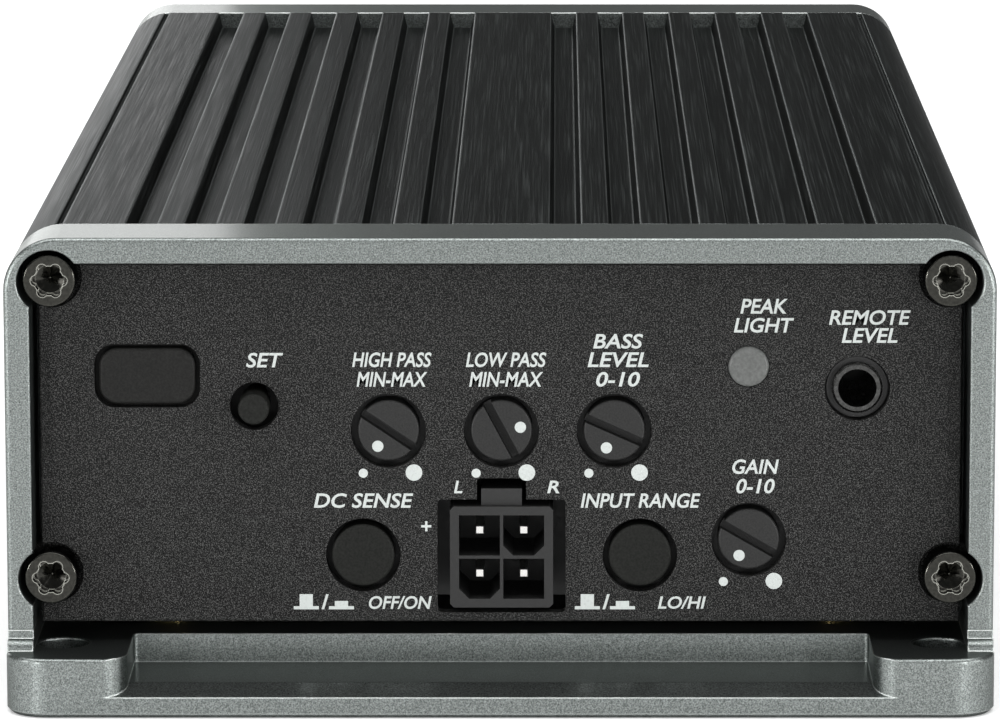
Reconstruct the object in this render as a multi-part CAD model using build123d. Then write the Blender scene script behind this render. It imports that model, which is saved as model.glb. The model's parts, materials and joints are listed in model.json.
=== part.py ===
from build123d import *
from math import cos, radians, sin
import os

# Compact one-channel car amplifier. Millimetres. X is across the control panel, the control end
# faces -Y and +Z is up. The origin is on the mounting surface, under the middle of the object.

# --- overall sizes ---
WIDTH = 92.0
BODY_LENGTH = 184.0
BASE_WIDTH = 92.2
BASE_LENGTH = 193.0
HEIGHT = 44.4
TOP_CORNER_R = 5.0

# --- base casting ---
FLANGE_TOP = 5.6
FLANGE_CORNER_R = 4.0
SEAM_Z = 7.4
LIP_FRONT = 1.95
LIP_TOP = 2.83
LIP_BEVEL_RUN = 2.7
POCKET_HALF = 34.7
POCKET_DEPTH = 11.2
EAR_CORNER_R = 2.5
CURB_COVE_R = 1.0
RAIL_SEAT_END = 66.0
HOLLOW_END = 81.0
BASE_FLOOR = 2.6
EAR_HOLE_R = 2.4
EAR_HOLE_X = 41.0
EAR_HOLE_Y = 89.2

# --- end frames ---
FRAME_DEPTH = 8.9
FRAME_TOP_BAR = 2.4
FRAME_SIDE_BAR = 2.4
SCREW_POCKET_R = 2.95
EDGE_BREAK = 0.4
INNER_EDGE_BREAK = 0.18

# --- heatsink cover ---
WALL = 2.6
ROOF = 5.0
CENTRE_LAND = 9.1
GROOVE_WIDTH = 3.0
GROOVE_PITCH = 5.53
GROOVES_PER_SIDE = 6
GROOVE_DEPTH = 1.8
GROOVE_SLOPE = 0.45
SIDE_SLOT_X = 41.4
SIDE_SLOT_WIDTH = 0.6
SIDE_SLOT_DEPTH = 0.6
RAIL_X = 39.2
RAIL_TOP = 15.2
CORNER_BLOCK_X = 38.6
CORNER_BLOCK_Z = 37.0

# --- end panels ---
PANEL_RECESS = 3.3
PANEL_THICK = 1.6
PANEL_HALF = 43.0
PANEL_BOTTOM = 7.5
PANEL_TOP = 41.5
PANEL_EDGE_R = 0.2
FIT_GAP = 0.15
BOSS_R = 2.8
UPPER_SCREW = (41.8, 40.3)
LOWER_SCREW = (42.0, 12.2)
PANEL_SCREW_R = 1.25
PANEL_SCREW_REACH = 7.0
HEAD_R = 2.45
HEAD_SET_BACK = 0.8
COUNTERBORE_R = 2.9
COUNTERBORE_DEPTH = 1.2

# --- controls: centres as X, Z ---
KNOBS = {
    "high_pass": (-10.47, 25.7, 10.0),
    "low_pass": (0.08, 25.7, 218.0),
    "bass_boost": (10.62, 25.7, 0.0),
    "gain": (23.24, 15.35, 6.0),
}
KNOB_R = 2.9
KNOB_HOLE_R = 3.52
KNOB_STOP_ANGLE = 24.0
KNOB_SET_BACK = 0.2
KNOB_THICK = 2.1
KNOB_SLOT = 0.83
KNOB_SLOT_DEPTH = 1.3
KNOB_SHAFT_R = 1.5
POT_SIZE = 9.4
LATCH_BUTTONS = {"dc_offset": (-12.88, 13.87), "input_level": (13.04, 13.87)}
LATCH_R = 2.93
LATCH_HOLE_R = 3.5
LATCH_PROUD = 0.15
LATCH_TRAVEL = 1.5
SETUP_BUTTON = (-22.98, 28.06)
SETUP_R = 1.45
SETUP_HOLE_R = 2.27
SETUP_PROUD = 1.8
SETUP_TRAVEL = 0.4
SWITCH_FLOOR = 0.6
STATUS_WINDOW = (-32.94, 30.92)
WINDOW_HOLE = (9.86, 6.0)
WINDOW_FACE = (8.97, 5.22)
LIGHT_PIPE = (23.14, 31.81)
LIGHT_PIPE_R = 1.92
REMOTE_JACK = (33.29, 29.74)
JACK_HOLE_R = 3.06
JACK_RING_R = 2.37
JACK_BORE_R = 1.8
JACK_BORE_LENGTH = 14.0

# --- signal header ---
HEADER_X = 0.08
HEADER_Z = 13.77
HEADER_PITCH = 4.14
HEADER_SIZE = 9.65
HEADER_HOLE = (12.0, 10.8)
HEADER_LENGTH = 10.4
HEADER_PROUD = 0.5
CELL = 3.84
CELL_DEPTH = 8.4
CELL_CHAMFER = 0.95
PIN = 0.8
PIN_SET_BACK = 2.6
LATCH_WIDTH = 3.8
LATCH_HEIGHT = 1.6

# --- rear terminals ---
TERMINAL_Z = 13.7
TERMINAL_PROUD = 2.0
WIRE_BORE_R = 2.3
TERMINAL_PITCH = 9.0
TERMINAL_HEIGHT = 15.0
TERMINAL_LENGTH = 13.0
TERMINAL_FRONT_WALL = 3.4
TERMINAL_WALL = 0.9
TERMINAL_SCREW_Z = 6.6
POWER_X = (-27.0, -18.0, -9.0)
SPEAKER_X = (18.0, 27.0)

# --- inside ---
BOARD_Z = 7.6
BOARD_THICK = 1.6
BOARD_HALF = 38.4
BOARD_ENDS = (-73.5, 80.0)
STANDOFF_XY = (33.0, 58.0)
STANDOFF_R = 2.5
CONTROL_BOARD_Y = -78.5
CONTROL_BOARD_HALF = 37.8

body_end = BODY_LENGTH / 2
cover_end = body_end - FRAME_DEPTH
panel_face = body_end - PANEL_RECESS
panel_back = panel_face - PANEL_THICK
terminal_front = panel_face + TERMINAL_PROUD
board_top = BOARD_Z + BOARD_THICK
screw_centres = [(s * x, z) for x, z in (UPPER_SCREW, LOWER_SCREW) for s in (-1, 1)]
frame_screw_x = (WIDTH - FRAME_SIDE_BAR) / 2
frame_screw_y = body_end - FRAME_DEPTH / 2


def block(x0, x1, y0, y1, z0, z1):
    """A plain block between two corners."""
    size = (x1 - x0, y1 - y0, z1 - z0)
    centre = ((x0 + x1) / 2, (y0 + y1) / 2, (z0 + z1) / 2)
    return Pos(*centre) * Box(*size)


def rod_y(radius, y0, y1, x=0.0, z=0.0):
    """A round rod along Y from y0 to y1."""
    turn = Rot(90, 0, 0)
    return Pos(x, (y0 + y1) / 2, z) * turn * Cylinder(radius, abs(y1 - y0))


def rod_z(radius, z0, z1, x=0.0, y=0.0):
    """A round rod along Z from z0 to z1."""
    return Pos(x, y, (z0 + z1) / 2) * Cylinder(radius, z1 - z0)


def cone_y(radius0, radius1, y0, y1, x=0.0, z=0.0):
    """A cone along Y with radius0 at y0 and radius1 at y1, where y0 is below y1."""
    turn = Rot(-90, 0, 0)
    return Pos(x, (y0 + y1) / 2, z) * turn * Cone(radius0, radius1, y1 - y0)


def along_y(face_xz, y0, y1):
    """A profile drawn in X, Z and extruded along Y from y0 to y1."""
    plane = Plane(origin=(0, y0, 0), x_dir=(1, 0, 0), z_dir=(0, -1, 0))
    return extrude(plane * face_xz, -(y1 - y0))


def mirrored(shape):
    """The same shape at the other end of the object."""
    return mirror(shape, Plane.XZ)


def slab(width, length, radius, z0, z1):
    """A plate with rounded vertical corners."""
    return Pos(0, 0, z0) * extrude(RectangleRounded(width, length, radius), z1 - z0)


def rounded_top(half_width, z0, z1, radius):
    """An upright outline with its two upper corners rounded, drawn in X and Z."""
    lower = Pos(0, (z0 + z1 - radius) / 2) * Rectangle(2 * half_width, z1 - radius - z0)
    upper = Pos(0, z1 - radius) * RectangleRounded(2 * half_width, 2 * radius - 0.001, radius - 0.001)
    return lower + upper


def recess_profile(top):
    """The opening inside an end frame, with a round pocket at each screw."""
    half = WIDTH / 2 - FRAME_SIDE_BAR
    profile = Pos(0, (SEAM_Z - 4 + top) / 2) * Rectangle(2 * half, top - SEAM_Z + 4)
    for x, z in screw_centres:
        profile += Pos(x, z) * Circle(SCREW_POCKET_R)
    return profile


def make_base():
    """The cast base: ears, end pockets, curb and a hollow floor."""
    base = slab(BASE_WIDTH, BASE_LENGTH, FLANGE_CORNER_R, 0, FLANGE_TOP)
    base = chamfer(base.edges().group_by(Axis.Z)[0], EDGE_BREAK)
    base = fillet(base.edges().group_by(Axis.Z)[-1], EDGE_BREAK)
    inner = WIDTH / 2 - FRAME_SIDE_BAR
    for side in (-1, 1):
        outer_x = side * WIDTH / 2
        rail_seat = block(*sorted((side * RAIL_X, outer_x)), -RAIL_SEAT_END, RAIL_SEAT_END,
                          FLANGE_TOP, SEAM_Z)
        frame_seat = block(*sorted((side * inner, outer_x)), -body_end, body_end, FLANGE_TOP - 0.6, SEAM_Z)
        base += rail_seat + frame_seat
        for end in (-1, 1):
            base += curb_fillet(side, end)
    pocket = make_end_pocket()
    hollow = block(-RAIL_X, RAIL_X, -HOLLOW_END, HOLLOW_END, BASE_FLOOR, 20)
    base = base - pocket - mirrored(pocket) - hollow
    for x in (-EAR_HOLE_X, EAR_HOLE_X):
        for y in (-EAR_HOLE_Y, EAR_HOLE_Y):
            base -= rod_z(EAR_HOLE_R, -1, 10, x, y)
            base -= Pos(x, y, FLANGE_TOP - 0.05) * Cone(EAR_HOLE_R, EAR_HOLE_R + 0.2, 0.2)
    return base


def make_end_pocket():
    """The cutter for the open pocket at the rear end, between the two ears."""
    front = BASE_LENGTH / 2
    rear = front - POCKET_DEPTH
    bevel_slope = (LIP_TOP - LIP_FRONT) / LIP_BEVEL_RUN
    side_view = Polyline((front + 1, LIP_FRONT - bevel_slope), (front - LIP_BEVEL_RUN, LIP_TOP),
                         (rear, LIP_TOP), (rear, 20), (front + 1, 20), close=True)
    reach = POCKET_HALF + EAR_CORNER_R
    plane = Plane(origin=(-reach, 0, 0), x_dir=(0, 1, 0), z_dir=(1, 0, 0))
    pocket = extrude(plane * make_face(side_view), 2 * reach)
    for side in (-1, 1):
        ear = block(*sorted((side * POCKET_HALF, side * (reach + 1))), rear - 1, front - EAR_CORNER_R, 0, 30)
        pocket -= ear + rod_z(EAR_CORNER_R, 0, 30, side * reach, front - EAR_CORNER_R)
    pocket = fillet(pocket.edges().filter_by(Axis.Z).group_by(Axis.Y)[0], 0.4)
    return pocket


def curb_fillet(side, end):
    """The hollow curve where the end of a curb meets the ear below it."""
    foot = (body_end + CURB_COVE_R, FLANGE_TOP)
    shoulder = (body_end, FLANGE_TOP + CURB_COVE_R)
    curve = RadiusArc(foot, shoulder, -CURB_COVE_R)
    below = FLANGE_TOP - 0.6
    back = Polyline(shoulder, (body_end - 0.2, shoulder[1]), (body_end - 0.2, below), (foot[0], below), foot)
    face = make_face([curve, *back.edges()])
    inner = WIDTH / 2 - FRAME_SIDE_BAR
    plane = Plane(origin=(inner, 0, 0), x_dir=(0, 1, 0), z_dir=(1, 0, 0))
    wedge = extrude(plane * face, FRAME_SIDE_BAR)
    if side < 0:
        wedge = mirror(wedge, Plane.YZ)
    return wedge if end > 0 else mirrored(wedge)


def is_inner_edge(edge):
    """True for the edges around an end frame's opening, its feet and outside left out."""
    middle = edge.center()
    half = WIDTH / 2 - EDGE_BREAK
    clear_of_outside = abs(middle.X) < half - 0.5 and middle.Z < HEIGHT - EDGE_BREAK - 0.5
    return clear_of_outside and middle.Z > SEAM_Z + 0.01


def make_frame():
    """The rear-end frame: an arch with its screw pockets. The front one is its mirror."""
    outline = rounded_top(WIDTH / 2, SEAM_Z, HEIGHT, TOP_CORNER_R)
    arch = along_y(outline, cover_end, body_end)
    arch = fillet(arch.faces().sort_by(Axis.Y)[-1].edges().filter_by(lambda e: e.center().Z > SEAM_Z + 1),
                  EDGE_BREAK)
    opening = along_y(recess_profile(HEIGHT - FRAME_TOP_BAR), cover_end - 1, body_end + 1)
    arch -= opening
    rim = arch.faces().sort_by(Axis.Y)[-1].edges().filter_by(is_inner_edge)
    arch = fillet(rim, INNER_EDGE_BREAK)
    for side in (-1, 1):
        arch -= rod_z(0.7, SEAM_Z - 1, SEAM_Z + 1.8, side * frame_screw_x, frame_screw_y)
    return arch


def groove_centres():
    """The middle of every heatsink groove."""
    first = CENTRE_LAND / 2 + GROOVE_WIDTH / 2
    one_side = [first + n * GROOVE_PITCH for n in range(GROOVES_PER_SIDE)]
    return [-x for x in one_side] + one_side


def make_cover():
    """The extruded heatsink cover, with its grooves and screw channels."""
    profile = rounded_top(WIDTH / 2, SEAM_Z, HEIGHT, TOP_CORNER_R)
    cavity_half = WIDTH / 2 - WALL
    roof_z = HEIGHT - ROOF
    cavity = Pos(0, (SEAM_Z - 2 + roof_z) / 2) * Rectangle(2 * cavity_half, roof_z - SEAM_Z + 2)
    for side in (-1, 1):
        rail = Rectangle(cavity_half - RAIL_X, RAIL_TOP)
        cavity -= Pos(side * (RAIL_X + cavity_half) / 2, RAIL_TOP / 2) * rail
        corner_high = HEIGHT - CORNER_BLOCK_Z
        corner = Rectangle(cavity_half - CORNER_BLOCK_X, corner_high)
        cavity -= Pos(side * (CORNER_BLOCK_X + cavity_half) / 2, CORNER_BLOCK_Z + corner_high / 2) * corner
    profile -= cavity
    for x in groove_centres():
        half = GROOVE_WIDTH / 2
        floor_z = HEIGHT - GROOVE_DEPTH
        outline = Polyline((x - half, HEIGHT + 1), (x - half, HEIGHT), (x - half + GROOVE_SLOPE, floor_z),
                           (x + half - GROOVE_SLOPE, floor_z), (x + half, HEIGHT), (x + half, HEIGHT + 1),
                           close=True)
        profile -= make_face(outline)
    for side in (-1, 1):
        profile -= Pos(side * SIDE_SLOT_X, HEIGHT) * Rectangle(SIDE_SLOT_WIDTH, 2 * SIDE_SLOT_DEPTH)
    for x, z in screw_centres:
        profile -= Pos(x, z) * Circle(PANEL_SCREW_R + 0.05)
    cover = along_y(profile, -cover_end, cover_end)
    for side in (-1, 1):
        for y in (-55, 0, 55):
            cover -= rod_z(1.3, SEAM_Z - 1, SEAM_Z + 3.2, side * 42.0, y)
    return cover


def panel_blank():
    """The rear end panel: a plate counterbored for its screws, with four bosses behind it."""
    plate = Pos(0, (PANEL_BOTTOM + PANEL_TOP) / 2) * Rectangle(2 * PANEL_HALF, PANEL_TOP - PANEL_BOTTOM)
    panel = along_y(plate, panel_back, panel_face)
    panel = fillet(panel.faces().sort_by(Axis.Y)[-1].edges(), PANEL_EDGE_R)
    for x, z in screw_centres:
        panel += rod_y(BOSS_R, cover_end, panel_back + 0.01, x, z)
    for x, z in screw_centres:
        panel -= rod_y(PANEL_SCREW_R + 0.15, cover_end - 1, panel_face + 1, x, z)
        panel -= rod_y(COUNTERBORE_R, panel_face - COUNTERBORE_DEPTH, panel_face + 1, x, z)
    return panel


def rounded_hole(width, height, radius, x, z):
    """A cutter for a rounded opening through the front panel."""
    return along_y(Pos(x, z) * RectangleRounded(width, height, radius), -panel_face - 1, -panel_back + 1)


def make_front_panel():
    """The control panel, with an opening for every control."""
    panel = mirrored(panel_blank())
    holes = [(x, z, KNOB_HOLE_R) for x, z, _ in KNOBS.values()]
    holes += [(x, z, LATCH_HOLE_R) for x, z in LATCH_BUTTONS.values()]
    holes += [(*SETUP_BUTTON, SETUP_HOLE_R), (*REMOTE_JACK, JACK_HOLE_R), (*LIGHT_PIPE, LIGHT_PIPE_R + 0.05)]
    for x, z, radius in holes:
        panel -= rod_y(radius, -panel_face - 1, -panel_back + 1, x, z)
    panel -= rounded_hole(*WINDOW_HOLE, 1.9, *STATUS_WINDOW)
    panel -= rounded_hole(*HEADER_HOLE, 0.4, HEADER_X, HEADER_Z)
    panel -= rounded_hole(LATCH_WIDTH + 0.8, 4.0, 0.3, HEADER_X, HEADER_Z + HEADER_SIZE / 2 + 0.6)
    return panel


def make_rear_panel():
    """The wiring-end panel, with an opening for each terminal block."""
    panel = panel_blank()
    for poles in (POWER_X, SPEAKER_X):
        half = (poles[-1] - poles[0] + TERMINAL_PITCH) / 2 + FIT_GAP
        centre = (poles[-1] + poles[0]) / 2
        z0 = TERMINAL_Z - TERMINAL_PITCH / 2 - FIT_GAP
        cut = block(centre - half, centre + half, panel_back - 1, panel_face + 1,
                    z0, z0 + TERMINAL_HEIGHT + 2 * FIT_GAP)
        panel -= cut
    return panel


def star_socket(radius, depth):
    """A six-lobed drive socket with a cone at its bottom, cut along +Y from Y = 0."""
    lobes = Circle(radius * 0.8)
    for n in range(6):
        angle = radians(60 * n)
        lobes += Pos(radius * 0.72 * cos(angle), radius * 0.72 * sin(angle)) * Circle(radius * 0.28)
    return along_y(lobes, 0, depth) + cone_y(radius * 0.78, 0.05, depth - 0.001, depth + 0.7)


def make_panel_screws():
    """The four front socket screws."""
    screws = []
    head_top = -body_end + HEAD_SET_BACK
    seat = -panel_face + COUNTERBORE_DEPTH
    for x, z in screw_centres:
        head = rod_y(HEAD_R, head_top, seat, x, z)
        head = fillet(head.edges().group_by(Axis.Y)[0], 0.2)
        screw = head + rod_y(PANEL_SCREW_R, seat - 0.01, -cover_end + PANEL_SCREW_REACH, x, z)
        screws.append(screw - Pos(x, head_top - 0.001, z) * star_socket(1.7, 1.3))
    return screws


def make_flat_screws(places, shank_r, head_r, length):
    """Countersunk screws driven up from the underside at each X, Y."""
    screws = []
    for x, y in places:
        head_height = head_r - shank_r
        head = Pos(x, y, 0.3 + head_height / 2) * Cone(head_r, shank_r, head_height)
        screw = head + rod_z(shank_r, 0.3 + head_height - 0.01, length, x, y)
        slot = star_socket(shank_r * 0.95, shank_r * 0.6)
        screws.append(screw - Pos(x, y, 0.299) * Rot(90, 0, 0) * slot)
    return screws


def cut_screw_seats(base, places, shank_r, head_r, length):
    """Removes the clearance holes and countersinks for screws from the underside."""
    for x, y in places:
        height = head_r - shank_r
        base -= rod_z(shank_r + 0.1, -1, length, x, y)
        base -= Pos(x, y, 0.3 + height / 2) * Cone(head_r + 0.02, shank_r + 0.02, height)
        base -= rod_z(head_r + 0.02, -1, 0.301, x, y)
    return base


def make_knob(x, z, turned):
    """A screwdriver-slot rotor with a short shaft, its slot square to the pointer."""
    face = -panel_face + KNOB_SET_BACK
    knob = rod_y(KNOB_R, face, face + KNOB_THICK, 0, 0)
    knob = fillet(knob.edges().group_by(Axis.Y)[0], 0.25)
    knob += rod_y(KNOB_SHAFT_R, face + KNOB_THICK - 0.1, -panel_back + 4.5, 0, 0)
    knob -= block(-5, 5, face - 1, face + KNOB_SLOT_DEPTH, -KNOB_SLOT / 2, KNOB_SLOT / 2)
    # Seen from the control end, a clockwise turn is a positive turn about +Y.
    return Pos(x, 0, z) * Rot(0, KNOB_STOP_ANGLE + turned, 0) * knob


def make_pot(x, z):
    """A sealed potentiometer body with a blind bore for the rotor's shaft."""
    half = POT_SIZE / 2
    pot = block(x - half, x + half, -panel_back + 0.9, CONTROL_BOARD_Y, z - half, z + half)
    pot = chamfer(pot.edges().filter_by(Axis.Y), 0.5)
    return pot - rod_y(KNOB_SHAFT_R + 0.05, -panel_back, -panel_back + 4.8, x, z)


def make_push_cap(x, z, radius, proud, travel, stem_r):
    """A round push button cap, whose stem stops clear of the switch's bore by its travel."""
    face = -panel_face - proud
    tail_end = CONTROL_BOARD_Y - SWITCH_FLOOR - travel - 0.3
    cap = rod_y(radius, face, -panel_back + 0.3, x, z)
    cap = fillet(cap.edges().group_by(Axis.Y)[0], 0.25)
    return cap + rod_y(stem_r, -panel_back + 0.29, tail_end, x, z)


def make_switch(x, z, half, front, stem_r):
    """A switch body with a blind bore for its button's stem."""
    body = block(x - half, x + half, front, CONTROL_BOARD_Y, z - half, z + half)
    body = chamfer(body.edges().filter_by(Axis.Y), 0.4)
    return body - rod_y(stem_r + 0.06, front - 1, CONTROL_BOARD_Y - SWITCH_FLOOR, x, z)


def header_cells():
    """The centres of the header's four cells."""
    half = HEADER_PITCH / 2
    return [(HEADER_X + x, HEADER_Z + z) for z in (half, -half) for x in (-half, half)]


def make_header():
    """The four-way header housing, with keyed cells and a latch ramp on top."""
    front = -panel_face - HEADER_PROUD
    half = HEADER_SIZE / 2
    left, right = HEADER_X - half, HEADER_X + half
    housing = block(left, right, front, front + HEADER_LENGTH, HEADER_Z - half, HEADER_Z + half)
    housing = chamfer(housing.edges().filter_by(Axis.Y), 0.35)
    top = HEADER_Z + half
    latch = block(-LATCH_WIDTH / 2, LATCH_WIDTH / 2, front + 0.6, front + 5.5, top - 0.5, top + LATCH_HEIGHT)
    housing += Pos(HEADER_X, 0, 0) * latch
    pin = PIN / 2
    for n, (x, z) in enumerate(header_cells()):
        cell = block(x - CELL / 2, x + CELL / 2, front - 1, front + CELL_DEPTH, z - CELL / 2, z + CELL / 2)
        if n in (1, 2):
            low = cell.edges().filter_by(Axis.Y).group_by(Axis.Z)[0]
            cell = chamfer(low, CELL_CHAMFER)
        housing -= cell
        housing -= block(x - pin, x + pin, front, front + HEADER_LENGTH + 1, z - pin, z + pin)
    return housing


def make_header_pins():
    """The header's four square pins, with broken tip edges."""
    pins = []
    tip = -panel_face - HEADER_PROUD + PIN_SET_BACK
    half = PIN / 2
    for x, z in header_cells():
        pin = block(x - half, x + half, tip, CONTROL_BOARD_Y + 2.6, z - half, z + half)
        pins.append(chamfer(pin.faces().sort_by(Axis.Y)[0].edges(), 0.08))
    return pins


def make_jack():
    """The remote jack's housing, flanged against the control board."""
    x, z = REMOTE_JACK
    front = -panel_back + 0.2
    jack = block(x - 4, x + 4, front, front + JACK_BORE_LENGTH, z - 4, z + 4)
    jack += block(x - 5, x + 5, CONTROL_BOARD_Y - 1, CONTROL_BOARD_Y, z - 5, z + 5)
    jack += rod_y(JACK_HOLE_R - 0.2, -panel_face + 0.9, front + 0.01, x, z)
    return jack - rod_y(JACK_RING_R, -panel_face, front + JACK_BORE_LENGTH - 1, x, z)


def make_jack_ring():
    """The metal sleeve inside the remote jack."""
    x, z = REMOTE_JACK
    front = -panel_face + 0.1
    ring = rod_y(JACK_RING_R, front, front + JACK_BORE_LENGTH, x, z)
    ring = chamfer(ring.edges().group_by(Axis.Y)[0], 0.2)
    return ring - rod_y(JACK_BORE_R, front - 1, front + JACK_BORE_LENGTH + 1, x, z)


def make_status_window():
    """The dark status window, with a flange behind the panel."""
    x, z = STATUS_WINDOW
    lens = Pos(x, z) * RectangleRounded(*WINDOW_FACE, 1.7)
    window = along_y(lens, -panel_face - 0.05, -panel_back + 0.01)
    window = fillet(window.faces().sort_by(Axis.Y)[0].edges(), 0.3)
    flange = Pos(x, z) * RectangleRounded(WINDOW_HOLE[0] + 2, WINDOW_HOLE[1] + 2, 1.5)
    return window + along_y(flange, -panel_back, -panel_back + 0.8)


def make_light_pipe():
    """The status light's clear pipe, with a domed face."""
    x, z = LIGHT_PIPE
    pipe = rod_y(LIGHT_PIPE_R, -panel_face - 0.2, -panel_back + 4.6, x, z)
    return fillet(pipe.edges().group_by(Axis.Y)[0], 0.35)


def make_terminal_block(poles):
    """A row of terminal housings, each open behind, with a wire bore and a screw well in front."""
    half = TERMINAL_PITCH / 2
    z0 = TERMINAL_Z - half
    back = terminal_front - TERMINAL_LENGTH
    cage_end = terminal_front - TERMINAL_FRONT_WALL
    housings = []
    for x in poles:
        housing = block(x - half, x + half, back, terminal_front, z0, z0 + TERMINAL_HEIGHT)
        housing = fillet(housing.faces().sort_by(Axis.Y)[-1].edges(), 0.4)
        housing -= block(x - half + TERMINAL_WALL, x + half - TERMINAL_WALL, back - 1, cage_end,
                         z0 + TERMINAL_WALL, z0 + TERMINAL_HEIGHT - TERMINAL_WALL)
        housing -= rod_y(WIRE_BORE_R, back, terminal_front + 1, x, TERMINAL_Z)
        housing -= rod_y(2.1, back, terminal_front + 1, x, TERMINAL_Z + TERMINAL_SCREW_Z)
        housings.append(housing)
    return housings


def make_terminal_cages():
    """A plated clamp cage inside each terminal, with a square opening for the wire."""
    cages = []
    front = terminal_front - TERMINAL_FRONT_WALL - 0.2
    for x in (*POWER_X, *SPEAKER_X):
        cage = block(x - 3.4, x + 3.4, front - 5.6, front, TERMINAL_Z - 3.4, TERMINAL_Z + 9.2)
        cage -= block(x - 2.8, x + 2.8, front - 9, front + 1, TERMINAL_Z - 2.8, TERMINAL_Z + 2.8)
        cage -= rod_y(1.3, front - 9, front + 1, x, TERMINAL_Z + TERMINAL_SCREW_Z)
        cages.append(cage)
    return cages


def make_terminal_screws():
    """The clamp screw above each wire bore."""
    screws = []
    z = TERMINAL_Z + TERMINAL_SCREW_Z
    for x in (*POWER_X, *SPEAKER_X):
        screw = rod_y(1.25, panel_face - 7, panel_face - 1.2, x, z)
        screw += rod_y(1.95, panel_face - 1.3, panel_face + 0.7, x, z)
        screws.append(screw - Pos(x, panel_face + 0.701, z) * Rot(180, 0, 0) * star_socket(1.2, 0.9))
    return screws


def make_main_board():
    """The main circuit board, drilled for its screws."""
    board = block(-BOARD_HALF, BOARD_HALF, *BOARD_ENDS, BOARD_Z, board_top)
    for x, y in standoff_places():
        board -= rod_z(1.6, 0, 20, x, y)
    return board


def standoff_places():
    """The X, Y of each board standoff."""
    x, y = STANDOFF_XY
    return [(a * x, b * y) for a in (-1, 1) for b in (-1, 1)]


def make_standoffs():
    """Short threaded posts between the base and the main board."""
    posts = [rod_z(STANDOFF_R, BASE_FLOOR, BOARD_Z, x, y) for x, y in standoff_places()]
    return [post - rod_z(1.3, BASE_FLOOR + 0.8, 20, *at) for post, at in zip(posts, standoff_places())]


def make_board_screws():
    """Pan-head screws that hold the main board down."""
    screws = []
    for x, y in standoff_places():
        head = rod_z(2.6, board_top, board_top + 1.8, x, y)
        head = fillet(head.edges().group_by(Axis.Z)[-1], 0.6)
        screws.append(head + rod_z(1.25, BASE_FLOOR + 1.2, board_top + 0.01, x, y))
    return screws


def make_control_board():
    """The upright board behind the panel, with windows for the jack and the header."""
    y0 = CONTROL_BOARD_Y
    board = block(-CONTROL_BOARD_HALF, CONTROL_BOARD_HALF, y0, y0 + BOARD_THICK, 7.9, 36.4)
    x, z = REMOTE_JACK
    board -= block(x - 4.1, x + 4.1, y0 - 1, y0 + 5, z - 4.1, z + 4.1)
    for x, z in header_cells():
        board -= block(x - 0.5, x + 0.5, y0 - 1, y0 + 5, z - 0.5, z + 0.5)
    return board


def make_capacitors():
    """A row of upright storage capacitors with grooved cans."""
    cans = []
    for x in (-27, -14):
        for y in (30, 46):
            can = rod_z(6.0, board_top, board_top + 24, x, y)
            can = fillet(can.edges().group_by(Axis.Z)[-1], 0.8)
            ring = rod_z(7.0, board_top + 3, board_top + 4, x, y)
            ring -= rod_z(5.6, board_top, board_top + 9, x, y)
            cans.append(can - ring)
    return cans


def make_toroid():
    """The power transformer's ring core and its winding, both lying flat."""
    z0 = board_top + 1.0
    core = rod_z(13, z0 + 1.5, z0 + 11.5, 8, 38) - rod_z(7.5, z0, z0 + 15, 8, 38)
    winding = rod_z(14.6, z0, z0 + 13, 8, 38) - rod_z(5.9, z0 - 1, z0 + 15, 8, 38)
    winding = fillet(winding.edges(), 1.3)
    lead_gap = block(8, 30, 34, 42, 0, 40)
    return core, winding - core - lead_gap


def make_inductors():
    """Two boxed output inductors."""
    parts = []
    for x in (-12, 12):
        coil = block(x - 8, x + 8, -46, -30, board_top, board_top + 15)
        parts.append(fillet(coil.edges().filter_by(Axis.Z), 2.5))
    return parts


def make_filter_capacitors():
    """Boxed film capacitors beside the inductors."""
    return [block(x - 3.5, x + 3.5, -58, -50, board_top, board_top + 9) for x in (-14, 0, 14)]


def transistor_places():
    """The side and the Y of each output transistor."""
    return [(side, y) for side in (-1, 1) for y in (-24, -8, 8, 24)]


def make_transistors():
    """Flat power transistors against the cover's walls, each with three bent legs."""
    parts = []
    for side, y in transistor_places():
        body = block(*sorted((side * 38.6, side * 43.1)), y - 5, y + 5, 16.0, 31.0)
        for leg in (-2.5, 0, 2.5):
            body += block(*sorted((side * 37.4, side * 39.8)), y + leg - 0.4, y + leg + 0.4, 15.6, 16.1)
            body += block(*sorted((side * 37.4, side * 37.9)), y + leg - 0.4, y + leg + 0.4, board_top, 16.1)
        parts.append(body)
    return parts


def make_side_strips(x0, x1, y_half, z0, z1):
    """The same strip on the inside of both long walls."""
    return [block(*sorted((side * x0, side * x1)), -y_half, y_half, z0, z1) for side in (-1, 1)]


def make_clamps():
    """Bars that press the transistors to the walls, and their screws."""
    bars = make_side_strips(36.6, 38.6, 31, 20.5, 26.5)
    screws = []
    for side in (-1, 1):
        for y in (-16, 0, 16):
            place = Pos(0, y, 23.5) * Rot(0, 90, 0)
            shank = place * Pos(0, 0, side * 39.9) * Cylinder(1.4, 6.2)
            head = place * Pos(0, 0, side * 35.7) * Cylinder(2.6, 1.8)
            hole = place * Pos(0, 0, side * 38) * Cylinder(1.5, 20)
            bars = [bar - hole for bar in bars]
            screws.append(shank + place * Pos(0, 0, side * 36.7) * Cylinder(1.4, 0.4) + head)
    return bars, screws


def make_chips(places, size, height):
    """Flat chip packages on the main board at each X, Y."""
    half = size / 2
    chips = [block(x - half, x + half, y - half, y + half, board_top, board_top + height) for x, y in places]
    return [chamfer(chip.edges().group_by(Axis.Z)[-1], 0.3) for chip in chips]


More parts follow.
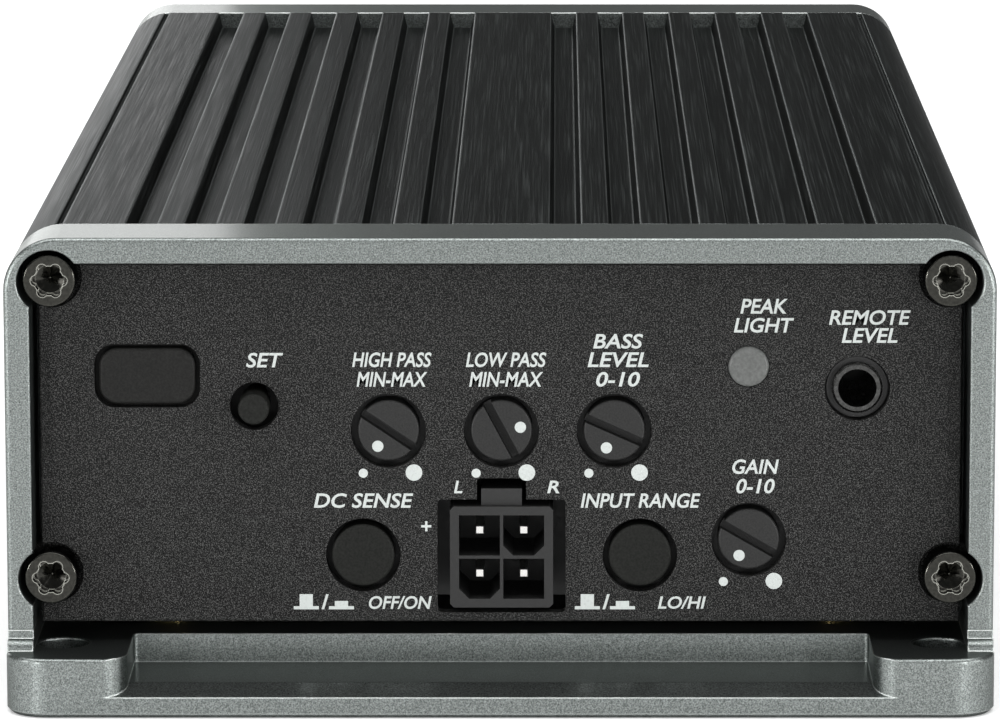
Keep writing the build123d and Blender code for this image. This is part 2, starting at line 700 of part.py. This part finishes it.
BASE_SCREWS = [(s * 42.0, y) for s in (-1, 1) for y in (-55, 0, 55)]
FRAME_SCREWS = [(s * frame_screw_x, e * frame_screw_y) for s in (-1, 1) for e in (-1, 1)]
base_fastening = (BASE_SCREWS, 1.25, 2.4, SEAM_Z + 3)
frame_fastening = (FRAME_SCREWS, 0.65, 1.1, SEAM_Z + 1.6)

nodes = {}
base = cut_screw_seats(make_base(), *base_fastening)
nodes["base_plate"] = cut_screw_seats(base, *frame_fastening)
nodes["heatsink_cover"] = make_cover()
nodes["rear_frame"] = make_frame()
nodes["front_frame"] = mirrored(nodes["rear_frame"])
nodes["front_panel"] = make_front_panel()
nodes["rear_panel"] = make_rear_panel()
nodes["front_panel_screws"] = make_panel_screws()
nodes["rear_panel_screws"] = [mirrored(screw) for screw in nodes["front_panel_screws"]]
nodes["base_screws"] = make_flat_screws(*base_fastening)
nodes["frame_screws"] = make_flat_screws(*frame_fastening)

for name, (x, z, turned) in KNOBS.items():
    nodes[f"{name}_knob"] = make_knob(x, z, turned)
    nodes[f"{name}_potentiometer"] = make_pot(x, z)
for name, (x, z) in LATCH_BUTTONS.items():
    nodes[f"{name}_button"] = make_push_cap(x, z, LATCH_R, LATCH_PROUD, LATCH_TRAVEL, 1.2)
    nodes[f"{name}_switch"] = make_switch(x, z, 4.0, -panel_back + 2.2, 1.2)
nodes["setup_button"] = make_push_cap(*SETUP_BUTTON, SETUP_R, SETUP_PROUD, SETUP_TRAVEL, 1.0)
nodes["setup_switch"] = make_switch(*SETUP_BUTTON, 3.0, CONTROL_BOARD_Y - 4.2, 1.0)

nodes["status_window"] = make_status_window()
nodes["status_light_pipe"] = make_light_pipe()
light_x, light_z = LIGHT_PIPE
nodes["status_light"] = block(light_x - 1.5, light_x + 1.5, CONTROL_BOARD_Y - 2.0, CONTROL_BOARD_Y,
                              light_z - 1.5, light_z + 1.5)
nodes["remote_jack_body"] = make_jack()
nodes["remote_jack_ring"] = make_jack_ring()
nodes["input_connector_housing"] = make_header()
nodes["input_connector_pins"] = make_header_pins()

nodes["power_terminal_block"] = make_terminal_block(POWER_X)
nodes["speaker_terminal_block"] = make_terminal_block(SPEAKER_X)
nodes["terminal_cages"] = make_terminal_cages()
nodes["terminal_screws"] = make_terminal_screws()

nodes["main_board"] = make_main_board()
nodes["board_standoffs"] = make_standoffs()
nodes["board_screws"] = make_board_screws()
nodes["control_board"] = make_control_board()
nodes["board_link"] = block(-34, -16, CONTROL_BOARD_Y + BOARD_THICK, -70, board_top, board_top + 2.5)
nodes["storage_capacitors"] = make_capacitors()
nodes["toroid_core"], nodes["toroid_winding"] = make_toroid()
nodes["output_inductors"] = make_inductors()
nodes["filter_capacitors"] = make_filter_capacitors()
nodes["power_transistors"] = make_transistors()
nodes["thermal_pads"] = make_side_strips(43.1, 43.4, 30, 16.0, 31.0)
nodes["clamp_bars"], nodes["clamp_screws"] = make_clamps()
nodes["processor_chip"] = make_chips([(0, 2)], 12.0, 1.4)
nodes["driver_chips"] = make_chips([(-22, -12), (22, -12), (-22, 12), (22, 12)], 6.0, 1.2)

os.makedirs("parts", exist_ok=True)
for name, shape in nodes.items():
    pieces = shape if isinstance(shape, list) else [shape]
    solids = [solid for piece in pieces for solid in piece.solids()]
    whole = solids[0] if len(solids) == 1 else Compound(children=solids)
    whole.label = name
    export_step(whole, f"parts/{name}.step")
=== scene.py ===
import json
import math
import bmesh
import bpy
from mathutils import Matrix, Vector


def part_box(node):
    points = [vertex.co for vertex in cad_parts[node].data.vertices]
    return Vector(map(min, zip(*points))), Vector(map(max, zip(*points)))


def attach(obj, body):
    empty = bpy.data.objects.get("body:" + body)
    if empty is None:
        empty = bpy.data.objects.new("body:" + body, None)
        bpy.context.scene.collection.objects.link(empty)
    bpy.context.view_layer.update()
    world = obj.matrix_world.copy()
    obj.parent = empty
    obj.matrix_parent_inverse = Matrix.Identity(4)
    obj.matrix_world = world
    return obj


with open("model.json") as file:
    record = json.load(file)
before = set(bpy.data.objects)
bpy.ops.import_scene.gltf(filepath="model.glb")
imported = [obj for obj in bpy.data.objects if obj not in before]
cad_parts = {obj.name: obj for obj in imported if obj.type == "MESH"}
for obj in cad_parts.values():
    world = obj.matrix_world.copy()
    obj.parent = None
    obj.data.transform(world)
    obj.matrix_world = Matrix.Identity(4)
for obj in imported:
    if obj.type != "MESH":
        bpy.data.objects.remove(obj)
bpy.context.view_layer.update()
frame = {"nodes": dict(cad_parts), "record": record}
MM = 0.001
BODY = "chassis"

# Print on the control panel, in millimetres unless said otherwise.
PRINT_LIFT = 0.02
WINDOW_PROUD = 0.05
LABEL_SLANT = 0.2
LABEL_HEIGHT = 1.4
LABEL_WEIGHT = 0.018
LABEL_THICKNESS = 0.04
BAR_HALF_THICKNESS = 0.02
POINTER_REACH = 1.8
POINTER_R = 0.53
RANGE_MARK_X = 2.37
LOW_MARK_R, LOW_MARK_DROP = 0.43, 4.02
HIGH_MARK_R, HIGH_MARK_DROP = 0.78, 3.96
SYMBOL_DROP, SYMBOL_LINE = 5.2, 0.3
SYMBOL_WIDTH, SYMBOL_STEP = 2.35, 3.3
CAP_INSET, CAP_WIDTH = 0.55, 1.25
OUT_HEIGHT, IN_HEIGHT = 1.15, 0.5
STROKE_X, STROKE_WIDTH, STROKE_HEIGHT, STROKE_SLANT = 2.6, 0.25, 1.45, 0.3

# The turn of each pointer from straight down, in degrees, clockwise as the control end is seen.
POINTER_TURN = {"high_pass": 34, "low_pass": 260, "bass_boost": 24, "gain": 30}

# The camera stands on the control end's side, in metres from the front frame's face.
CAMERA_X, CAMERA_HEIGHT, CAMERA_DISTANCE = 0.0053, 0.1342, 0.5747
CAMERA_TILT = 80.0
FLOOR_HALF = 3.0
FLOOR_LEVEL = -0.05 * MM


# ---------------------------------------------------------------- helpers
def box_centre(node):
    """The middle of a CAD node's box."""
    low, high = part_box(node)
    return (low + high) / 2


def add_piece(name, mesh, material, body=BODY):
    """Links a finished mesh as a piece that rides on a body."""
    piece = bpy.data.objects.new(name, mesh)
    bpy.context.scene.collection.objects.link(piece)
    piece.data.materials.clear()
    piece.data.materials.append(material)
    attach(piece, body)


def joined_mesh(name, meshes):
    """One mesh from several."""
    bm = bmesh.new()
    for mesh in meshes:
        bm.from_mesh(mesh)
        bpy.data.meshes.remove(mesh)
    joined = bpy.data.meshes.new(name)
    bm.to_mesh(joined)
    bm.free()
    return joined


# ---------------------------------------------------------------- materials
class Shader:
    """A small builder for one node material."""

    def __init__(self, name):
        self.material = bpy.data.materials.new(name)
        self.material.use_nodes = True
        self.nodes = self.material.node_tree.nodes
        self.links = self.material.node_tree.links
        self.bsdf = self.nodes["Principled BSDF"]
        self.coords = self.nodes.new("ShaderNodeTexCoord").outputs["Object"]

    def link(self, source, target):
        self.links.new(source, target)

    def set(self, **values):
        for name, value in values.items():
            self.bsdf.inputs[name.replace("_", " ")].default_value = value

    def mapped(self, scale):
        node = self.nodes.new("ShaderNodeMapping")
        node.inputs["Scale"].default_value = scale
        self.link(self.coords, node.inputs["Vector"])
        return node.outputs["Vector"]

    def noise(self, size_mm, detail=3.0, roughness=0.55, stretch=(1, 1, 1)):
        node = self.nodes.new("ShaderNodeTexNoise")
        node.inputs["Scale"].default_value = 1.0
        node.inputs["Detail"].default_value = detail
        node.inputs["Roughness"].default_value = roughness
        scale = tuple(1 / (size_mm * MM * s) for s in stretch)
        self.link(self.mapped(scale), node.inputs["Vector"])
        return node.outputs["Fac"]

    def cells(self, size_mm):
        node = self.nodes.new("ShaderNodeTexVoronoi")
        node.inputs["Scale"].default_value = 1.0
        scale = (1 / (size_mm * MM),) * 3
        self.link(self.mapped(scale), node.inputs["Vector"])
        return node

    def ramp(self, source, stops):
        node = self.nodes.new("ShaderNodeValToRGB")
        ramp = node.color_ramp
        for _ in range(len(stops) - 2):
            ramp.elements.new(0.5)
        for element, (place, colour) in zip(ramp.elements, stops):
            element.position = place
            element.color = (*colour, 1)
        self.link(source, node.inputs["Fac"])
        return node.outputs["Color"]

    def remap(self, source, low, high, out_low, out_high):
        node = self.nodes.new("ShaderNodeMapRange")
        for name, value in (("From Min", low), ("From Max", high), ("To Min", out_low), ("To Max", out_high)):
            node.inputs[name].default_value = value
        self.link(source, node.inputs["Value"])
        return node.outputs["Result"]

    def mix(self, factor, first, second):
        node = self.nodes.new("ShaderNodeMix")
        node.data_type = "RGBA"
        for socket, value in ((node.inputs[0], factor), (node.inputs[6], first), (node.inputs[7], second)):
            if isinstance(value, bpy.types.NodeSocket):
                self.link(value, socket)
            else:
                socket.default_value = (*value, 1) if isinstance(value, tuple) and len(value) == 3 else value
        return node.outputs[2]

    def bump(self, source, height_mm, strength=1.0, after=None):
        node = self.nodes.new("ShaderNodeBump")
        node.inputs["Strength"].default_value = strength
        node.inputs["Distance"].default_value = height_mm * MM
        self.link(source, node.inputs["Height"])
        if after is not None:
            self.link(after, node.inputs["Normal"])
        return node.outputs["Normal"]

    def rounded(self, radius_mm):
        """Shading normals that round every edge a little."""
        soft = self.nodes.new("ShaderNodeBevel")
        soft.samples = 6
        soft.inputs["Radius"].default_value = radius_mm * MM
        return soft.outputs["Normal"]

    def edges(self, radius_mm):
        """A mask that is 1 along sharp or narrowly rounded edges."""
        plain = self.nodes.new("ShaderNodeNewGeometry")
        dot = self.nodes.new("ShaderNodeVectorMath")
        dot.operation = "DOT_PRODUCT"
        self.link(self.rounded(radius_mm), dot.inputs[0])
        self.link(plain.outputs["Normal"], dot.inputs[1])
        return self.remap(dot.outputs["Value"], 0.99, 0.85, 0.0, 1.0)

    def finish(self, colour, roughness, normal=None):
        for name, value in (("Base Color", colour), ("Roughness", roughness), ("Normal", normal)):
            if value is not None:
                self.link(value, self.bsdf.inputs[name])
        return self.material


def frame_paint():
    """Metallic grey paint with fine flake under a clear coat, with a painted highlight along its edges."""
    s = Shader("frame_paint")
    s.set(Metallic=1.0, Specular_Tint=(0.4, 0.41, 0.4, 1), Coat_Weight=0.3, Coat_Roughness=0.12)
    flake = s.cells(0.14)
    grain = s.noise(0.14, detail=4)
    shades = [(0.3, (0.085, 0.094, 0.090)), (0.5, (0.198, 0.217, 0.21)), (0.7, (0.36, 0.39, 0.378))]
    tone = s.ramp(grain, shades)
    sparkle = s.remap(flake.outputs["Distance"], 0.0, 0.3, 0.5, 0.0)
    colour = s.mix(sparkle, tone, (0.62, 0.66, 0.64))
    # Painted highlight: a light tone along edges and narrow roundings, standing in for light caught there.
    colour = s.mix(s.edges(0.2), colour, (0.86, 0.9, 0.88))
    rough = s.remap(grain, 0.3, 0.7, 0.27, 0.4)
    normal = s.bump(grain, 0.014, 0.9, s.rounded(0.25))
    return s.finish(colour, rough, normal)


def heatsink_finish():
    """Dark anodised aluminium, drawn lengthwise, with a painted highlight along its edges."""
    s = Shader("heatsink_finish")
    s.set(Metallic=0.9, Specular_Tint=(0.25, 0.255, 0.255, 1))
    drawn = s.noise(0.14, detail=4, stretch=(1, 160, 1))
    broad = s.noise(1.6, detail=3, stretch=(1, 25, 1))
    shades = [(0.34, (0.013, 0.0145, 0.014)), (0.5, (0.035, 0.038, 0.037)), (0.66, (0.10, 0.107, 0.105))]
    tone = s.ramp(drawn, shades)
    colour = s.mix(s.remap(broad, 0.3, 0.7, 0.0, 0.6), tone, (0.024, 0.0255, 0.025))
    # Painted highlight: a lighter tone along the fins' edges, standing in for light caught there.
    colour = s.mix(s.edges(0.3), colour, (0.24, 0.255, 0.25))
    rough = s.remap(drawn, 0.3, 0.7, 0.28, 0.46)
    normal = s.bump(drawn, 0.02, 0.85, s.rounded(0.35))
    return s.finish(colour, rough, normal)


def powder_coat():
    """Fine textured black powder coat with a light sparkle."""
    s = Shader("panel_powder_coat")
    s.set(Specular_IOR_Level=0.18)
    grain = s.noise(0.12, detail=4, roughness=0.6)
    speck = s.cells(0.3)
    glint = s.ramp(speck.outputs["Color"], [(0.93, (0, 0, 0)), (0.98, (1, 1, 1))])
    shades = [(0.38, (0.001, 0.001, 0.001)), (0.5, (0.005, 0.005, 0.0048)), (0.62, (0.08, 0.08, 0.0777))]
    tone = s.ramp(grain, shades)
    near = s.remap(speck.outputs["Distance"], 0.1, 0.32, 1.0, 0.0)
    spot = s.mix(near, (0.0, 0.0, 0.0), glint)
    colour = s.mix(s.mix(0.55, (0.0, 0.0, 0.0), spot), tone, (0.42, 0.42, 0.41))
    rough = s.remap(grain, 0.3, 0.7, 0.62, 0.42)
    normal = s.bump(grain, 0.13, 1.0)
    return s.finish(colour, rough, normal)


def plain_metal(name, low, high, rough_low, rough_high, grain_mm=0.3, edge_highlight=None):
    """Plated or turned metal with a slight uneven tone and, if given, a painted highlight tone along edges.
    """
    s = Shader(name)
    s.set(Metallic=1.0)
    grain = s.noise(grain_mm, detail=3)
    colour = s.ramp(grain, [(0.3, low), (0.7, high)])
    # Painted highlight: a lighter tone along edges, standing in for light caught there.
    if edge_highlight is not None:
        colour = s.mix(s.edges(0.2), colour, edge_highlight)
    return s.finish(colour, s.remap(grain, 0.3, 0.7, rough_low, rough_high), s.bump(grain, 0.004, 0.4))


def moulded(name, low, high, rough_low, rough_high, grain_mm=0.25, bump_mm=0.01, shine=0.5):
    """Moulded plastic or resin with a fine surface grain."""
    s = Shader(name)
    s.set(Specular_IOR_Level=shine)
    grain = s.noise(grain_mm, detail=4)
    colour = s.ramp(grain, [(0.3, low), (0.7, high)])
    return s.finish(colour, s.remap(grain, 0.3, 0.7, rough_low, rough_high), s.bump(grain, bump_mm, 0.6))


def printed_ink():
    """Slightly uneven white screen print."""
    s = Shader("printed_ink")
    s.set(Specular_IOR_Level=0.3)
    grain = s.noise(0.2, detail=3)
    colour = s.ramp(grain, [(0.2, (0.42, 0.44, 0.43)), (0.5, (0.51, 0.54, 0.525))])
    return s.finish(colour, s.remap(grain, 0.3, 0.7, 0.6, 0.75), s.bump(grain, 0.01, 0.5))


def light_pipe():
    """Frosted light pipe plastic."""
    s = Shader("light_pipe")
    s.set(Transmission_Weight=0.25, IOR=1.49)
    grain = s.noise(0.3, detail=2)
    colour = s.ramp(grain, [(0.3, (0.10, 0.105, 0.10)), (0.7, (0.16, 0.165, 0.16))])
    return s.finish(colour, s.remap(grain, 0.3, 0.7, 0.35, 0.5), s.bump(grain, 0.01, 0.4))


# Each plated or turned metal: darkest and lightest tone, the roughness range and, for the panel screws, the
# grain's size and the painted highlight tone along edges.
METALS = {
    "jack_metal": ((0.05, 0.05, 0.049), (0.1, 0.1, 0.098), 0.22, 0.32),
    "plated_contact": ((0.78, 0.77, 0.74), (0.9, 0.89, 0.87), 0.25, 0.4),
    "plated_steel": ((0.4, 0.4, 0.41), (0.58, 0.58, 0.6), 0.25, 0.4),
    "standoff_brass": ((0.55, 0.4, 0.16), (0.72, 0.55, 0.25), 0.25, 0.4),
    "clamp_aluminium": ((0.5, 0.5, 0.5), (0.66, 0.66, 0.66), 0.3, 0.45),
    "dark_nickel": ((0.03, 0.03, 0.027), (0.055, 0.054, 0.048), 0.1, 0.16, 0.3, (0.5, 0.5, 0.45)),
}

# Each moulded material: darkest and lightest tone, then the roughness range and, where they aren't the
# usual ones, the grain's size, its height and the shine.
MOULDINGS = {
    "knob_plastic": ((0.008, 0.008, 0.008), (0.022, 0.022, 0.0215), 0.38, 0.52, 0.16, 0.015, 0.3),
    "button_plastic": ((0.009, 0.0095, 0.0085), (0.018, 0.0185, 0.017), 0.42, 0.52, 0.2, 0.012, 0.08),
    "window_plastic": ((0.01, 0.01, 0.0095), (0.019, 0.019, 0.018), 0.34, 0.44, 0.2, 0.012, 0.1),
    "moulded_black": ((0.004, 0.004, 0.004), (0.009, 0.009, 0.0088), 0.4, 0.55, 0.3, 0.015),
    "board_laminate": ((0.006, 0.007, 0.0065), (0.011, 0.012, 0.0115), 0.3, 0.45, 0.6),
    "capacitor_sleeve": ((0.01, 0.01, 0.014), (0.02, 0.02, 0.026), 0.2, 0.3),
    "ferrite": ((0.03, 0.03, 0.032), (0.06, 0.06, 0.065), 0.5, 0.7),
    "enamel_wire": ((0.32, 0.09, 0.03), (0.5, 0.17, 0.06), 0.25, 0.4),
    "film_box": ((0.2, 0.03, 0.025), (0.3, 0.05, 0.04), 0.3, 0.45),
    "chip_resin": ((0.014, 0.014, 0.014), (0.028, 0.028, 0.028), 0.5, 0.65),
    "thermal_silicone": ((0.3, 0.32, 0.35), (0.4, 0.42, 0.45), 0.6, 0.8),
}


def slot_materials():
    """One material for each of the record's slots."""
    made = {
        "frame_paint": frame_paint(),
        "heatsink_finish": heatsink_finish(),
        "panel_powder_coat": powder_coat(),
        "light_pipe": light_pipe(),
    }
    made.update({name: plain_metal(name, *values) for name, values in METALS.items()})
    made.update({name: moulded(name, *values) for name, values in MOULDINGS.items()})
    return made


def dress_nodes(materials):
    """Gives each CAD node the material of its slot."""
    for part in frame["record"]["subparts"]:
        node = frame["nodes"][part["node"]]
        node.data.materials.clear()
        node.data.materials.append(materials[part["material_slot"]])


# ---------------------------------------------------------------- printed marks
def disc_mesh(radius_mm, centre):
    """A thin printed dot that faces -Y."""
    bm = bmesh.new()
    bmesh.ops.create_cone(bm, cap_ends=True, segments=40, radius1=radius_mm * MM, radius2=radius_mm * MM,
                          depth=LABEL_THICKNESS * MM)
    turn = Matrix.Rotation(math.radians(90), 4, "X")
    bmesh.ops.transform(bm, matrix=Matrix.Translation(centre) @ turn, verts=bm.verts)
    mesh = bpy.data.meshes.new("dot")
    bm.to_mesh(mesh)
    bm.free()
    return mesh


def bar_mesh(x0, x1, z0, z1, y, slant=0.0):
    """A thin printed bar that faces -Y, in metres, leaning by slant."""
    bm = bmesh.new()
    depth = BAR_HALF_THICKNESS * MM
    for dy in (-depth, depth):
        for x, z in ((x0, z0), (x1, z0), (x1, z1), (x0, z1)):
            bm.verts.new((x + slant * (z - z0), y + dy, z))
    bm.verts.ensure_lookup_table()
    v = bm.verts
    faces = [(0, 1, 2, 3), (7, 6, 5, 4)] + [(n, n + 4, (n + 1) % 4 + 4, (n + 1) % 4) for n in range(4)]
    for corners in faces:
        bm.faces.new([v[n] for n in corners])
    bmesh.ops.recalc_face_normals(bm, faces=bm.faces)
    mesh = bpy.data.meshes.new("bar")
    bm.to_mesh(mesh)
    bm.free()
    return mesh


def text_mesh(text, height_mm, width_mm, place, slant=LABEL_SLANT):
    """Raised lettering with its cap height and width, laid out in X and Z by place."""
    curve = bpy.data.curves.new("label", "FONT")
    curve.body = text
    curve.size = 1.0
    curve.shear = slant
    curve.offset = LABEL_WEIGHT
    curve.extrude = 0.01
    curve.resolution_u = 4
    curve.align_x = "CENTER"
    label = bpy.data.objects.new("label", curve)
    bpy.context.scene.collection.objects.link(label)
    bpy.context.view_layer.update()
    mesh = bpy.data.meshes.new_from_object(label)
    bpy.data.objects.remove(label)
    xs = [v.co.x for v in mesh.vertices]
    ys = [v.co.y for v in mesh.vertices]
    cap = max(ys) - min(ys)
    scale_y = height_mm * MM / cap
    scale_x = width_mm * MM / (max(xs) - min(xs))
    middle = Vector(((max(xs) + min(xs)) / 2, (max(ys) + min(ys)) / 2, 0))
    mesh.transform(Matrix.Diagonal((scale_x, scale_y, 2 * MM, 1)) @ Matrix.Translation(-middle))
    mesh.transform(place)
    return mesh


def upright(x, y, z):
    """Text that faces -Y, centred at a point."""
    return Matrix.Translation((x, y, z)) @ Matrix.Rotation(math.radians(90), 4, "X")


def control_marks(ink):
    """Each trim control's pointer dot and the two marks below it."""
    face_y = panel_front()
    marks = []
    for name in ("high_pass", "low_pass", "bass_boost", "gain"):
        knob = f"{name}_knob"
        centre = box_centre(knob)
        low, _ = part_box(knob)
        angle = math.radians(POINTER_TURN[name])
        reach = POINTER_REACH * MM
        tip = Vector((centre.x - reach * math.sin(angle), low.y - PRINT_LIFT * MM / 2,
                      centre.z - reach * math.cos(angle)))
        dot = disc_mesh(POINTER_R, tip)
        add_piece(f"{name}_pointer", dot, ink, knob)
        for side, radius, drop in ((-1, LOW_MARK_R, LOW_MARK_DROP), (1, HIGH_MARK_R, HIGH_MARK_DROP)):
            place = Vector((centre.x + side * RANGE_MARK_X * MM, face_y, centre.z - drop * MM))
            marks.append(disc_mesh(radius, place))
    add_piece("control_range_marks", joined_mesh("control_range_marks", marks), ink)


def panel_front():
    """The Y of the control panel's face, where print lies, just behind the window's face."""
    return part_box("status_window")[0].y + WINDOW_PROUD * MM


def panel_labels(ink):
    """Plain function words beside each control."""
    y = panel_front()
    # Each control: its labels' shift in X, then each line's words, width and height above its centre.
    anchored = [
        ("high_pass_knob", 0.35, [("HIGH PASS", 7.4, 6.75), ("MIN-MAX", 6.6, 4.9)]),
        ("low_pass_knob", 0.45, [("LOW PASS", 7.5, 6.75), ("MIN-MAX", 6.9, 4.9)]),
        ("bass_boost_knob", 0.35, [("BASS", 4.65, 8.5), ("LEVEL", 5.7, 6.75), ("0-10", 4.1, 4.9)]),
        ("gain_knob", 0.6, [("GAIN", 4.35, 6.95), ("0-10", 3.6, 5.1)]),
        ("status_light_pipe", 1.4, [("PEAK", 4.4, 5.7), ("LIGHT", 5.6, 3.9)]),
        ("remote_jack_ring", 1.1, [("REMOTE", 7.6, 6.7), ("LEVEL", 5.2, 5.0)]),
        ("setup_button", 1.0, [("SET", 3.45, 4.35)]),
        ("dc_offset_button", 0.05, [("DC SENSE", 9.3, 5.2)]),
        ("input_level_button", 0.05, [("INPUT RANGE", 11.2, 5.2)]),
    ]
    meshes = []
    for node, shift, lines in anchored:
        centre = box_centre(node)
        for text, width, rise in lines:
            place = upright(centre.x + shift * MM, y, centre.z + rise * MM)
            meshes.append(text_mesh(text, LABEL_HEIGHT, width, place))
    # Each small mark: its control, place from its centre, words, width and height.
    small = [
        ("input_connector_pins", -4.05, 6.6, "L", 0.8, 1.2),
        ("input_connector_pins", 4.85, 6.6, "R", 1.15, 1.2),
        ("input_connector_pins", -7.05, 2.85, "+", 0.95, 0.95),
        ("dc_offset_button", 3.45, -4.55, "OFF/ON", 5.9, 1.25),
        ("input_level_button", 3.95, -4.55, "LO/HI", 4.5, 1.2),
    ]
    for node, dx, dz, text, width, height in small:
        centre = box_centre(node)
        slant = 0.0 if text == "+" else LABEL_SLANT
        place = upright(centre.x + dx * MM, y, centre.z + dz * MM)
        meshes.append(text_mesh(text, height, width, place, slant))
    for node, start in (("dc_offset_button", -6.55), ("input_level_button", -6.1)):
        meshes += position_symbols(box_centre(node), start, y)
    add_piece("panel_print", joined_mesh("panel_print", meshes), ink)


def position_symbols(centre, start, y):
    """The out and in symbols of a push button, with a stroke between them."""
    base = centre.z - SYMBOL_DROP * MM
    top = base + SYMBOL_LINE * MM
    x = centre.x + start * MM
    shapes = []
    for left, height in ((x, OUT_HEIGHT), (x + SYMBOL_STEP * MM, IN_HEIGHT)):
        cap = left + CAP_INSET * MM
        shapes.append(bar_mesh(left, left + SYMBOL_WIDTH * MM, base, top, y))
        shapes.append(bar_mesh(cap, cap + CAP_WIDTH * MM, top, top + height * MM, y))
    left, right = x + STROKE_X * MM, x + (STROKE_X + STROKE_WIDTH) * MM
    shapes.append(bar_mesh(left, right, base, base + STROKE_HEIGHT * MM, y, STROKE_SLANT))
    return shapes


# ---------------------------------------------------------------- stage
def aim(obj, target):
    """Turns a light to face a point."""
    direction = Vector(target) - obj.location
    obj.rotation_euler = direction.to_track_quat("-Z", "Y").to_euler()


def softbox(name, place, target, size, watts):
    """A rectangular soft light, with its size in metres."""
    light = bpy.data.lights.new(name, "AREA")
    light.shape = "RECTANGLE"
    light.size, light.size_y = size
    light.energy = watts
    lamp = bpy.data.objects.new(name, light)
    lamp.location = place
    bpy.context.scene.collection.objects.link(lamp)
    aim(lamp, target)


def make_floor():
    """A plain pale floor that reads as white to the camera."""
    corners = [(x * FLOOR_HALF, y * FLOOR_HALF, FLOOR_LEVEL) for x, y in ((-1, -1), (1, -1), (1, 1), (-1, 1))]
    mesh = bpy.data.meshes.new("floor")
    mesh.from_pydata(corners, [], [(0, 1, 2, 3)])
    floor = bpy.data.objects.new("floor", mesh)
    bpy.context.scene.collection.objects.link(floor)
    s = Shader("floor_paper")
    s.set(Specular_IOR_Level=0.1, Emission_Color=(1, 1, 1, 1))
    grain = s.noise(4.0, detail=2)
    tone = s.ramp(grain, [(0.3, (0.86, 0.86, 0.86)), (0.7, (0.90, 0.90, 0.90))])
    seen = s.nodes.new("ShaderNodeLightPath").outputs["Is Camera Ray"]
    s.link(s.remap(seen, 0.0, 1.0, 0.0, 0.25), s.bsdf.inputs["Emission Strength"])
    mesh.materials.append(s.finish(tone, s.remap(grain, 0.3, 0.7, 0.8, 0.9)))


def make_lights():
    """Soft studio lights and a dim surround."""
    centre = (0, 0, 0.03)
    softbox("front_softbox", (0.15, -1.5, 0.55), centre, (1.3, 0.8), 3.5)
    softbox("top_softbox", (0.0, -0.15, 1.1), (0, 0, 0), (1.6, 1.1), 17)
    softbox("rear_left_softbox", (-0.54, 1.15, 0.27), (-0.54, 0, 0.2), (0.9, 0.5), 3.8)
    for side, name in ((-1, "left"), (1, "right")):
        softbox(f"{name}_strip", (side * 0.85, -0.45, 0.25), (0, -0.09, 0.03), (0.3, 0.55), 2.5)
        softbox(f"{name}_corner_strip", (side * 0.36, -0.6, 0.045), (0, -0.09, 0.01), (0.07, 0.08), 0.95)
    world = bpy.data.worlds.new("surround")
    world.use_nodes = True
    background = world.node_tree.nodes["Background"]
    background.inputs["Color"].default_value = (0.10, 0.102, 0.102, 1)
    background.inputs["Strength"].default_value = 1.9
    bpy.context.scene.world = world


def make_camera():
    """The camera: a long lens a little above the control end."""
    camera = bpy.data.cameras.new("camera")
    camera.sensor_width = 36.0
    camera.lens = 226.7
    camera.shift_x = -0.0573
    camera.clip_start, camera.clip_end = 0.05, 20
    eye = bpy.data.objects.new("camera", camera)
    frame_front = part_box("front_frame")[0].y
    eye.location = (CAMERA_X, frame_front - CAMERA_DISTANCE, CAMERA_HEIGHT)
    eye.rotation_euler = (math.radians(CAMERA_TILT), 0, 0)
    bpy.context.scene.collection.objects.link(eye)
    bpy.context.scene.camera = eye


materials = slot_materials()
ink = printed_ink()
dress_nodes(materials)
control_marks(ink)
panel_labels(ink)
make_camera()
make_floor()
make_lights()
bpy.context.scene.view_settings.view_transform = "Standard"
